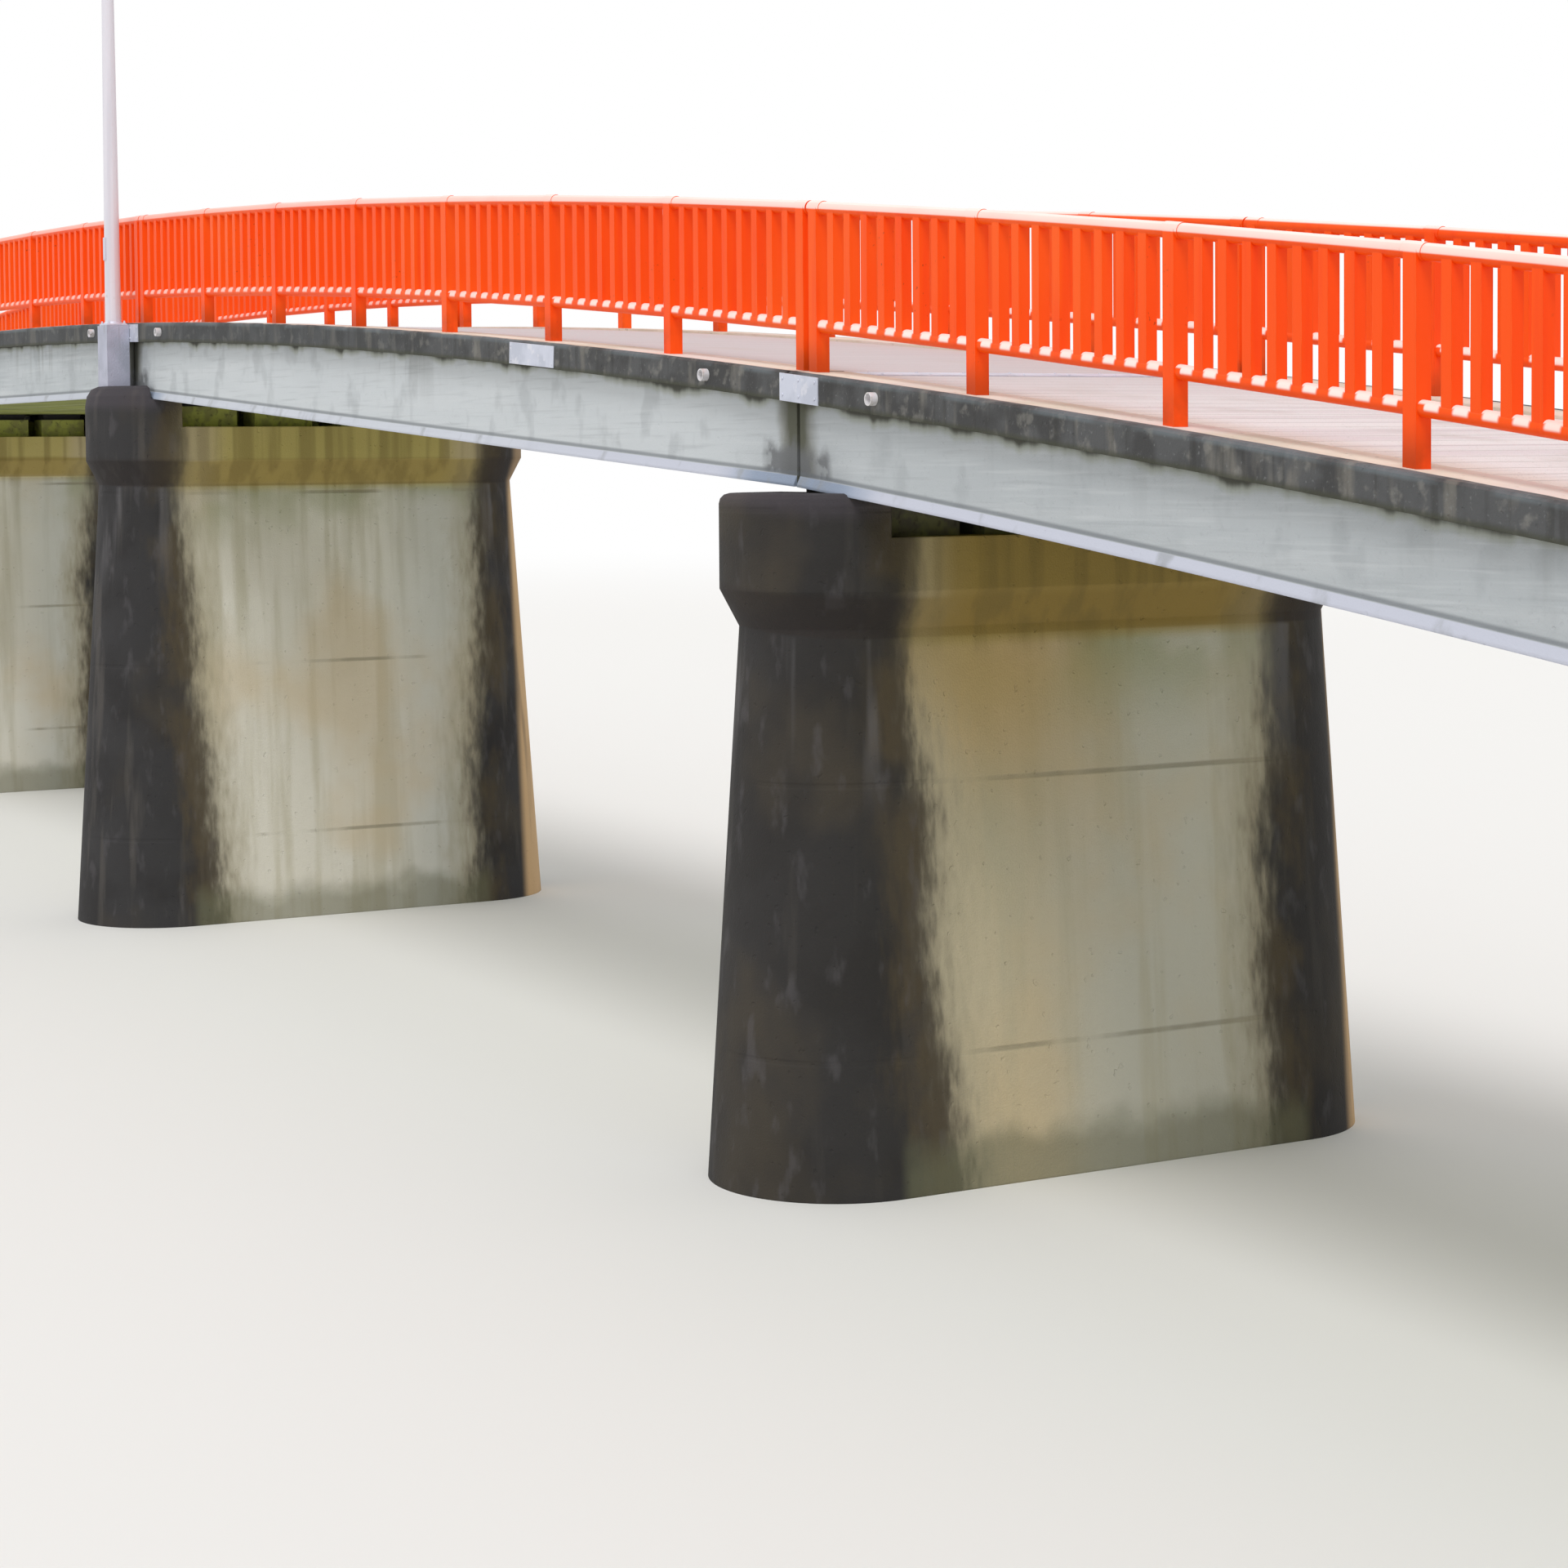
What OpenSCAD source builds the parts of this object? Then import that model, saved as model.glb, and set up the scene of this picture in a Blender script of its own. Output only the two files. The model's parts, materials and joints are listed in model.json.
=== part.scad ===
/* [Arch] */
// Distance between neighbouring railing posts
bay = 1000; // [900:50:1100]
// Railing bays in one span
span_bays = 7; // [5:1:8]
// Top of the coping above the ground at the middle of the bridge
crown_height = 3200; // [3000:50:3800]
// Radius of the curve that the deck, copings and railings follow
arch_radius = 112500; // [105000:2500:140000]
// Open joint between the ends of two spans
joint_gap = 20; // [10:2:30]

/* [Deck] */
// Width over the outer faces of the two copings
deck_width = 2030; // [1980:10:2200]
// Width of a coping
coping_width = 230; // [200:10:260]
// Height of a coping
coping_depth = 100; // [80:5:120]
// Chamfer along the outer upper edge of a coping, measured across the bridge
chamfer_run = 10; // [4:1:20]
// Height of the same chamfer
chamfer_rise = 8; // [4:1:16]
// Paving below the top of the copings
paving_drop = 10; // [4:2:20]
// Spacing of the points that the curved outlines are drawn through
curve_step = 500; // [250:50:1000]

/* [Girders] */
// Girders side by side under one span
girder_count = 4; // [3:1:5]
// Slot between neighbouring girders
girder_slot = 10; // [6:1:20]
// Coping overhang beyond the face of the outer girder
coping_overhang = 45; // [20:5:60]
// Depth of a girder where it sits on a pier
girder_end_depth = 285; // [240:5:320]
// Height of the lip along the bottom of an outer girder
lip_height = 38; // [25:1:50]
// Lip beyond the girder's face
lip_depth = 14; // [6:1:20]
// Upright edge under the sloping face of the lip
lip_edge = 8; // [4:1:14]

/* [Piers] */
// Radius of the round ends of a pier's capital
cap_radius = 380; // [340:10:420]
// Straight middle of a pier, between the centres of its round ends
pier_straight = 1685; // [1600:5:1760]
// Gap between the underside of the girders and the round end blocks
nose_gap = 20; // [10:5:40]
// Bearing seat below the top of the round end blocks
seat_drop = 145; // [110:5:180]
// Rounding around the top of a round end block
nose_round = 35; // [20:5:50]
// Height of a round end block's face, with the rounding
cap_face = 320; // [260:10:380]
// Height of the chamfer under the capital
cap_chamfer = 125; // [90:5:160]
// Capital beyond the shaft
cap_overhang = 65; // [40:5:90]
// Widening of the shaft for each millimetre of height
shaft_batter = 0.065; // [0.03:0.005:0.1]

/* [Bearings] */
// Length of a bearing along the bridge
bearing_length = 180; // [140:10:220]
// Width of a bearing across the bridge
bearing_width = 320; // [240:10:340]
// Rubber pad on top of a bearing block
pad_height = 36; // [24:2:50]
// Rubber pad in from the edge of its block
pad_inset = 20; // [10:5:30]
// Middle of a bearing from the end of its girder
bearing_inset = 170; // [150:10:190]

/* [Abutments] */
// Thickness of the wall behind the end of the deck
back_wall = 300; // [200:20:400]
// Seat in front of the back wall
seat_length = 360; // [340:10:420]
// Abutment beyond the copings on each side
abutment_side = 60; // [20:10:120]

/* [Railings] */
// Outer face of a coping to the middle of a railing
rail_inset = 102; // [80:1:130]
// Top of the handrail above the coping
rail_height = 565; // [540:5:620]
// Diameter of the handrail
handrail_d = 45; // [42:1:56]
// Diameter of the lower rail
lower_rail_d = 44; // [41:1:50]
// Middle of the lower rail above the coping
lower_rail_z = 152; // [120:1:180]
// Side of a square railing post
post_side = 50; // [46:1:58]
// Posts beside a joint, from the middle of the joint
twin_post = 43; // [40:1:60]
// Square balusters in one bay
baluster_count = 8; // [6:1:8]
// Side of a baluster
baluster_side = 38; // [28:1:39]
// Spacing of the balusters, from the middle of the bay
baluster_pitch = 106; // [100:1:110]
// Wall of the sleeves that join the handrail lengths over the posts
sleeve_wall = 2; // [1:0.5:3]
// Length of a sleeve
sleeve_length = 76; // [68:2:100]

/* [Fittings] */
// Thickness of the steel joint covers
cover_thick = 4; // [2:1:6]
// Length of a joint cover on the outer face of the coping
cover_width = 250; // [150:10:300]
// Same cover from the joint back towards the crown
cover_lap = 40; // [25:5:60]
// Width of a joint cover on the paving
tread_width = 120; // [90:5:160]
// Outer diameter of a drain outlet
outlet_d = 43; // [30:1:50]
// Bore of a drain outlet
outlet_bore = 34; // [20:1:38]
// Drain outlet beyond the face of the coping
outlet_reach = 25; // [15:1:40]
// Closed end of a drain outlet, against the coping
outlet_end = 4; // [2:1:8]
// Drain outlet from the middle of the nearest joint
outlet_place = 560; // [450:10:700]

/* [Lamps] */
// Domed head that carries a lamp, above the other round end blocks
dome_rise = 70; // [50:5:90]
// Rounding of the domed head, measured inwards
dome_run = 66; // [50:2:80]
// Width of the lamp pedestal along the bridge
pedestal_width = 160; // [130:5:180]
// Width of the lamp pedestal across the bridge
pedestal_depth = 120; // [104:2:124]
// Clearance between the pedestal and the coping
pedestal_gap = 6; // [5:1:12]
// Top of the pedestal below the top of the coping
pedestal_drop = 15; // [0:5:60]
// Diameter of the lamp pole at its foot
pole_d = 84; // [70:2:96]
// Diameter of the lamp pole under the lantern
pole_top_d = 56; // [44:2:60]
// Height of the lamp pole
pole_height = 2250; // [2000:50:2600]
// Diameter of the lantern
lantern_d = 190; // [160:5:220]
// Diameter of the lantern's glass at its foot
lantern_foot_d = 124; // [100:2:150]
// Height of the lantern's glass
lantern_height = 170; // [130:5:220]
// Rim of the lantern's roof beyond the glass
lantern_rim = 6; // [2:1:12]
// Height of the lantern's roof
lantern_roof = 48; // [30:2:70]

/* [Hidden] */
SPANS = 5;
PIERS = SPANS - 1;
LAMP_PIERS = [2, 3];
SIDES = ["near", "far"];
LAMPS = ["left", "right"];
$fn = 48;

span = span_bays * bay;
half_length = SPANS * span / 2;
half_deck = deck_width / 2;
rail_y = half_deck - rail_inset;
paving_half = half_deck - coping_width;
girder_half = half_deck - coping_overhang;
girder_width = (2 * girder_half - (girder_count - 1) * girder_slot) / girder_count;
girder_drop = coping_depth + girder_end_depth;
nose_drop = girder_drop + nose_gap;
bearing_height = nose_gap + seat_drop;
shaft_drop = nose_drop + cap_face + cap_chamfer;
nose_y = pier_straight / 2;
lamp_y = half_deck + pedestal_gap + pedestal_depth / 2;
dome_drop = nose_drop - dome_rise;
// Edge cuts reach this far past the piece that they cut
cut_margin = 60;
// The lip's root lies this deep in the girder
lip_bond = 10;

// Colours
VERMILION = [0.99, 0.33, 0.11];
PALE_CONCRETE = [0.70, 0.74, 0.76];
DARK_CONCRETE = [0.32, 0.33, 0.34];
PIER_CONCRETE = [0.55, 0.53, 0.45];
PAVING = [0.88, 0.83, 0.82];
STEEL = [0.78, 0.77, 0.82];
RUBBER = [0.14, 0.14, 0.15];
GLASS = [0.93, 0.93, 0.88];

// Height of the top of the copings at a place along the bridge
function deck_z(x) = crown_height - arch_radius + sqrt(arch_radius * arch_radius - x * x);

// Middle of the joint or bearing line number k, from 0 at the left abutment
function joint_x(k) = k * span - half_length;

// Ends of the concrete of span k
function span_start(k) = joint_x(k - 1) + joint_gap / 2;
function span_end(k) = joint_x(k) - joint_gap / 2;

// Places that a curved outline of span k passes through
function curve_xs(k) = concat(
    [span_start(k)],
    [for (x = [joint_x(k - 1) + curve_step:curve_step:joint_x(k) - curve_step / 2]) x],
    [span_end(k)]);

// The two end spans follow the curve underneath, and the others are straight from joint to joint
function is_end_span(k) = k == 1 || k == SPANS;
function soffit_xs(k) = is_end_span(k) ? curve_xs(k) : [span_start(k), span_end(k)];

// Underside of the girders of span k
function soffit_z(k, x) =
    let (xs = is_end_span(k) ? curve_xs(k) : [joint_x(k - 1), joint_x(k)])
    lookup(x, [for (c = xs) [c, deck_z(c) - girder_drop]]);

// Posts of the railing on span k
function post_xs(k) = concat(
    [joint_x(k - 1) + twin_post],
    [for (j = [1:span_bays - 1]) joint_x(k - 1) + j * bay],
    [joint_x(k) - twin_post]);

// Extrudes an outline drawn in the plane along the bridge, from y0 to y1
module across(y0, y1) {
    translate([0, y1, 0]) rotate([90, 0, 0]) linear_extrude(y1 - y0) children();
}

// Outline between two rows of points that both run from left to right
module outline_between(upper, lower) {
    last = len(lower) - 1;
    polygon(concat(upper, [for (i = [0:last]) lower[last - i]]));
}

// Outline between two curves that lie top_drop and bottom_drop below the top of the copings
module curved_band(k, top_drop, bottom_drop) {
    xs = curve_xs(k);
    outline_between([for (x = xs) [x, deck_z(x) - top_drop]], [for (x = xs) [x, deck_z(x) - bottom_drop]]);
}

// Side outline of a girder
module girder_outline(k) {
    outline_between(
        [for (x = curve_xs(k)) [x, deck_z(x) - coping_depth]],
        [for (x = soffit_xs(k)) [x, soffit_z(k, x)]]);
}

// Cuts along a near edge from point to point: the face left leans inwards by run as it rises by rise
module edge_cut(points, y, run, rise) {
    reach = sqrt(run * run + rise * rise) + 2 * cut_margin;
    for (i = [0:len(points) - 2]) {
        a = points[i];
        step = points[i + 1] - a;
        translate([a[0], y, a[1]]) rotate([0, -atan2(step[1], step[0]), 0]) rotate([atan2(rise, run), 0, 0])
            translate([-cut_margin, -cut_margin, 0]) cube([norm(step) + 2 * cut_margin, reach, reach]);
    }
}

// Lip with a sloping upper face along the bottom of span k's near girder, cast into its face
module lip(k) {
    xs = soffit_xs(k);
    y = -girder_half - lip_depth;
    root = 2 * lip_height;
    difference() {
        across(y, -girder_half + lip_bond) outline_between(
            [for (x = xs) [x, soffit_z(k, x) + root]],
            [for (x = xs) [x, soffit_z(k, x)]]);
        edge_cut([for (x = xs) [x, soffit_z(k, x) + lip_edge]], y, lip_depth, lip_height - lip_edge);
    }
}

module girders(k) {
    pitch = girder_width + girder_slot;
    color(PALE_CONCRETE) {
        for (j = [0:girder_count - 1]) {
            y0 = -girder_half + j * pitch;
            across(y0, y0 + girder_width) girder_outline(k);
        }
        lip(k);
        mirror([0, 1, 0]) lip(k);
    }
}

module deck_slab(k) {
    color(PAVING) across(-paving_half, paving_half) curved_band(k, paving_drop, coping_depth);
}

// Coping on the near side, chamfered along its outer edge
module coping(k) {
    edge = [for (x = curve_xs(k)) [x, deck_z(x) - chamfer_rise]];
    difference() {
        across(-half_deck, -paving_half) curved_band(k, 0, coping_depth);
        edge_cut(edge, -half_deck, chamfer_run, chamfer_rise);
    }
}

module copings(k) {
    color(DARK_CONCRETE) {
        coping(k);
        mirror([0, 1, 0]) coping(k);
    }
}

// Half outline of a pier, from its middle plane outwards to a shoulder that is rounded by run and rise
module pier_profile(x, top_drop, run, rise) {
    top = deck_z(x) - top_drop;
    face_bottom = deck_z(x) - nose_drop - cap_face;
    shaft_top = deck_z(x) - shaft_drop;
    shaft_radius = cap_radius - cap_overhang;
    shoulder = run == 0 ? [[cap_radius, top]] :
        [for (a = [0:30:90]) [cap_radius - run * (1 - cos(a)), top - rise * (1 - sin(a))]];
    polygon(concat([
        [0, 0],
        [shaft_radius + shaft_batter * shaft_top, 0],
        [shaft_radius, shaft_top],
        [cap_radius, face_bottom]], shoulder, [[0, top]]));
}

// Round end of a pier on the far side, with its block standing above the seat
module pier_nose(x, top_drop, run, rise) {
    translate([x, nose_y, 0]) rotate_extrude(angle = 180) pier_profile(x, top_drop, run, rise);
}

// Round end with a domed head for a lamp, cut down where the girders pass over it
module lamp_nose(x) {
    outside = girder_half + lip_depth + lip_bond;
    difference() {
        pier_nose(x, dome_drop, dome_run, dome_rise + nose_round);
        translate([x - 2 * cap_radius, 0, deck_z(x) - nose_drop]) cube([4 * cap_radius, outside, nose_drop]);
    }
}

module pier(k) {
    x = joint_x(k);
    has_lamp = k == LAMP_PIERS[0] || k == LAMP_PIERS[1];
    color(PIER_CONCRETE) {
        translate([x, 0, 0]) across(-nose_y, nose_y) {
            pier_profile(x, nose_drop + seat_drop, 0, 0);
            mirror([1, 0, 0]) pier_profile(x, nose_drop + seat_drop, 0, 0);
        }
        pier_nose(x, nose_drop, nose_round, nose_round);
        mirror([0, 1, 0]) {
            if (has_lamp) lamp_nose(x);
            else pier_nose(x, nose_drop, nose_round, nose_round);
        }
    }
}

// Bearing block and rubber pad under one girder of span k, centred on x
module bearing(k, x, seat) {
    a = x - bearing_length / 2;
    b = x + bearing_length / 2;
    pad_a = a + pad_inset;
    pad_b = b - pad_inset;
    block_top = min(soffit_z(k, a), soffit_z(k, b)) - pad_height;
    across(-bearing_width / 2, bearing_width / 2)
        polygon([[a, seat], [b, seat], [b, block_top], [a, block_top]]);
    across(-bearing_width / 2 + pad_inset, bearing_width / 2 - pad_inset)
        polygon([
            [pad_a, block_top],
            [pad_b, block_top],
            [pad_b, soffit_z(k, pad_b)],
            [pad_a, soffit_z(k, pad_a)]]);
}

// Line of bearings at joint k, for the spans that end there
module bearings(k) {
    seat = deck_z(joint_x(k)) - nose_drop - seat_drop;
    pitch = girder_width + girder_slot;
    outer_y = nose_y - nose_gap - bearing_width / 2;
    color(RUBBER) for (j = [0:girder_count - 1]) {
        y = -girder_half + girder_width / 2 + j * pitch;
        seat_y = max(-outer_y, min(outer_y, y));
        translate([0, seat_y, 0]) {
            if (k > 0) bearing(k, joint_x(k) - bearing_inset, seat);
            if (k < SPANS) bearing(k + 1, joint_x(k) + bearing_inset, seat);
        }
    }
}

// Abutment at the right end: seat block with a back wall up to the deck
module abutment_block() {
    x = joint_x(SPANS);
    seat = deck_z(x) - nose_drop - seat_drop;
    wall_x = x + joint_gap / 2;
    half = half_deck + abutment_side;
    across(-half, half) polygon([
        [x - seat_length, 0],
        [wall_x + back_wall, 0],
        [wall_x + back_wall, deck_z(x)],
        [wall_x, deck_z(x)],
        [wall_x, seat],
        [x - seat_length, seat]]);
}

module abutment_right() {
    color(PIER_CONCRETE) abutment_block();
}

module abutment_left() {
    color(PIER_CONCRETE) mirror([1, 0, 0]) abutment_block();
}

// Round bar between two places, at one height above the coping
module bar(xa, xb, lift, d) {
    za = deck_z(xa) + lift;
    zb = deck_z(xb) + lift;
    length = sqrt((xb - xa) * (xb - xa) + (zb - za) * (zb - za));
    translate([xa, 0, za]) rotate([0, 90 - atan2(zb - za, xb - xa), 0]) cylinder(d = d, h = length);
}

// Square baluster from the lower rail to the handrail
module baluster(x) {
    half = baluster_side / 2;
    height = rail_height - handrail_d / 2 - lower_rail_z;
    translate([x - half, -half, deck_z(x) + lower_rail_z]) cube([baluster_side, baluster_side, height]);
}

// Square post cut to the slope of the coping, up to the middle of the handrail
module post(x) {
    a = x - post_side / 2;
    b = x + post_side / 2;
    top = deck_z(x) + rail_height - handrail_d / 2;
    across(-post_side / 2, post_side / 2)
        polygon([[a, deck_z(a)], [b, deck_z(b)], [b, top], [a, top]]);
}

module railing(k, side) {
    posts = post_xs(k);
    axis = rail_height - handrail_d / 2;
    middle = (baluster_count + 1) / 2;
    color(VERMILION) translate([0, side * rail_y, 0]) {
        for (x = posts) {
            post(x);
            bar(x - sleeve_length / 2, x + sleeve_length / 2, axis, handrail_d + 2 * sleeve_wall);
        }
        for (j = [0:span_bays - 1]) {
            a = posts[j];
            b = posts[j + 1];
            bar(a, b, axis, handrail_d);
            bar(a, b, lower_rail_z, lower_rail_d);
            for (i = [1:baluster_count]) baluster((a + b) / 2 + (i - middle) * baluster_pitch);
        }
    }
}

// Cover plates over joint k: one on the paving and one on each coping's outer face
module joint_cover(k) {
    x = joint_x(k);
    a = x - tread_width / 2;
    b = x + tread_width / 2;
    lift = cover_thick - paving_drop;
    across(-paving_half, paving_half) polygon([
        [a, deck_z(a) - paving_drop],
        [x, deck_z(x) - paving_drop],
        [b, deck_z(b) - paving_drop],
        [b, deck_z(b) + lift],
        [x, deck_z(x) + lift],
        [a, deck_z(a) + lift]]);
    for (m = [0, 1]) mirror([0, m, 0]) side_cover(x);
}

module side_cover(x) {
    lap = cover_width / 2 - cover_lap;
    a = x + sign(x) * lap - cover_width / 2;
    b = a + cover_width;
    across(-half_deck - cover_thick, -half_deck) polygon([
        [a, deck_z(a) - coping_depth],
        [b, deck_z(b) - coping_depth],
        [b, deck_z(b) - chamfer_rise],
        [a, deck_z(a) - chamfer_rise]]);
}

module joint_covers() {
    color(STEEL) for (k = [1:PIERS]) joint_cover(k);
}

// Pipe end that drains the paving through the coping
module outlet(x) {
    z = deck_z(x) - coping_depth / 2;
    translate([x, -half_deck, z]) rotate([90, 0, 0]) difference() {
        cylinder(d = outlet_d, h = outlet_reach);
        translate([0, 0, outlet_end]) cylinder(d = outlet_bore, h = outlet_reach);
    }
}

module drain_outlets() {
    color(STEEL) for (k = [1:PIERS], m = [0, 1]) mirror([0, m, 0]) {
        outlet(joint_x(k) - outlet_place);
        outlet(joint_x(k) + outlet_place);
    }
}

// Lamp standing on the domed head of a pier
module lamp(x) {
    foot = deck_z(x) - dome_drop;
    pedestal_height = dome_drop - pedestal_drop;
    lantern_z = foot + pedestal_height + pole_height;
    translate([x, -lamp_y, 0]) {
        color(PALE_CONCRETE) translate([-pedestal_width / 2, -pedestal_depth / 2, foot])
            cube([pedestal_width, pedestal_depth, pedestal_height]);
        color(STEEL) translate([0, 0, foot + pedestal_height])
            cylinder(d1 = pole_d, d2 = pole_top_d, h = pole_height);
        color(GLASS) translate([0, 0, lantern_z])
            cylinder(d1 = lantern_foot_d, d2 = lantern_d, h = lantern_height);
        color(STEEL) translate([0, 0, lantern_z + lantern_height])
            cylinder(d1 = lantern_d + 2 * lantern_rim, d2 = pole_top_d, h = lantern_roof);
    }
}

abutment_left();
abutment_right();
for (k = [1:PIERS]) pier(k);
for (k = [0:SPANS]) bearings(k);
for (k = [1:SPANS]) girders(k);
for (k = [1:SPANS]) deck_slab(k);
for (k = [1:SPANS]) copings(k);
for (k = [1:SPANS]) railing(k, -1);
for (k = [1:SPANS]) railing(k, 1);
joint_covers();
drain_outlets();
for (i = [0, 1]) lamp(joint_x(LAMP_PIERS[i]));
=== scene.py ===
"""Arched footbridge at half size: finishes, small fittings, light and camera."""

import json
import math

import bmesh
import bpy
from mathutils import Matrix, Vector


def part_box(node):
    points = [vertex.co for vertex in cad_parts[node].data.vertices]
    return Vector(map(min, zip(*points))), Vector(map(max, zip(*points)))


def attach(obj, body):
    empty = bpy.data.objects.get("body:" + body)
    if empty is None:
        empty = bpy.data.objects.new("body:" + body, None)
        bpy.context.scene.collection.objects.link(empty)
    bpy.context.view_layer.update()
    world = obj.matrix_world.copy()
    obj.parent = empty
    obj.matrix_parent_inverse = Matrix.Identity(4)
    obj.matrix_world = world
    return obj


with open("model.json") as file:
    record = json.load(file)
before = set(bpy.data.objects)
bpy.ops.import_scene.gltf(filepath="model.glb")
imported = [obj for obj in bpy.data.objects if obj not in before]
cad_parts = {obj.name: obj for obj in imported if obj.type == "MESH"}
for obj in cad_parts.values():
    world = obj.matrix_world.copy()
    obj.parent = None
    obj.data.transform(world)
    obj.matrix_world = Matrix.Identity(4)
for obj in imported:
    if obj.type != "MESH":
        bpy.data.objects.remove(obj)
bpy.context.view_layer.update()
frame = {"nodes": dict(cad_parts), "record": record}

# The bridge's own sizes, in metres
SPANS = 5
ARCH_RADIUS = 112.5
COPING_DEPTH = 0.100
GIRDER_DROP = 0.385
LIP_DEPTH = 0.014
LIP_HEIGHT = 0.038
PAD_HEIGHT = 0.036
CAP_BOTTOM = 0.725
CHAMFER_BOTTOM = 0.850
POST_PITCH = 1.0
TWIN_POST = 0.043
BALUSTER_PITCH = 0.106
BALUSTER_HALF = 0.019
HIGHLIGHT_HALF_BAY = 0.451
ROUND_END_Y = 0.8425
COVER_THICK = 0.004
COVER_LENGTH = 0.250
COVER_LAP = 0.040
TREAD_WIDTH = 0.120
PAVING_DROP = 0.010
PAVING_LINE_PITCH = 0.125
HANDRAIL_LIFT = 0.5425
LOWER_RAIL_LIFT = 0.152
RAIL_RADIUS = 0.022
PEDESTAL_DROP = 0.015
POLE_HEIGHT = 2.250
POLE_FOOT = 0.042
POLE_TOP = 0.028
LANTERN_HEIGHT = 0.170
LANTERN_FOOT = 0.062
LANTERN_TOP = 0.095
PANEL_HEIGHT = 0.90

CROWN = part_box("copings_3")[1].z
HALF_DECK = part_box("copings_3")[1].y
PAVING_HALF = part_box("deck_slab_3")[1].y
GIRDER_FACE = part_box("girders_3")[1].y - LIP_DEPTH
GAP_HALF = (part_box("girders_4")[0].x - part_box("girders_3")[1].x) / 2
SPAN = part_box("girders_3")[1].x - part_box("girders_3")[0].x + 2 * GAP_HALF
HALF_LENGTH = SPANS * SPAN / 2
JOINTS = [number * SPAN - HALF_LENGTH for number in range(SPANS + 1)]
INNER_JOINTS = JOINTS[1:-1]


def deck_height(x):
    """Top of the copings at a place along the bridge."""
    return CROWN - ARCH_RADIUS + math.sqrt(ARCH_RADIUS ** 2 - x * x)


def soffit_height(x):
    """Underside of the girders at a place near a joint."""
    return deck_height(x) - GIRDER_DROP


def paint(red, green, blue):
    """Linear colour from the 0 to 255 values of a colour chart, by the sRGB curve."""
    def linear(value):
        share = value / 255
        return share / 12.92 if share <= 0.04045 else ((share + 0.055) / 1.055) ** 2.4
    return linear(red), linear(green), linear(blue), 1.0


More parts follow.
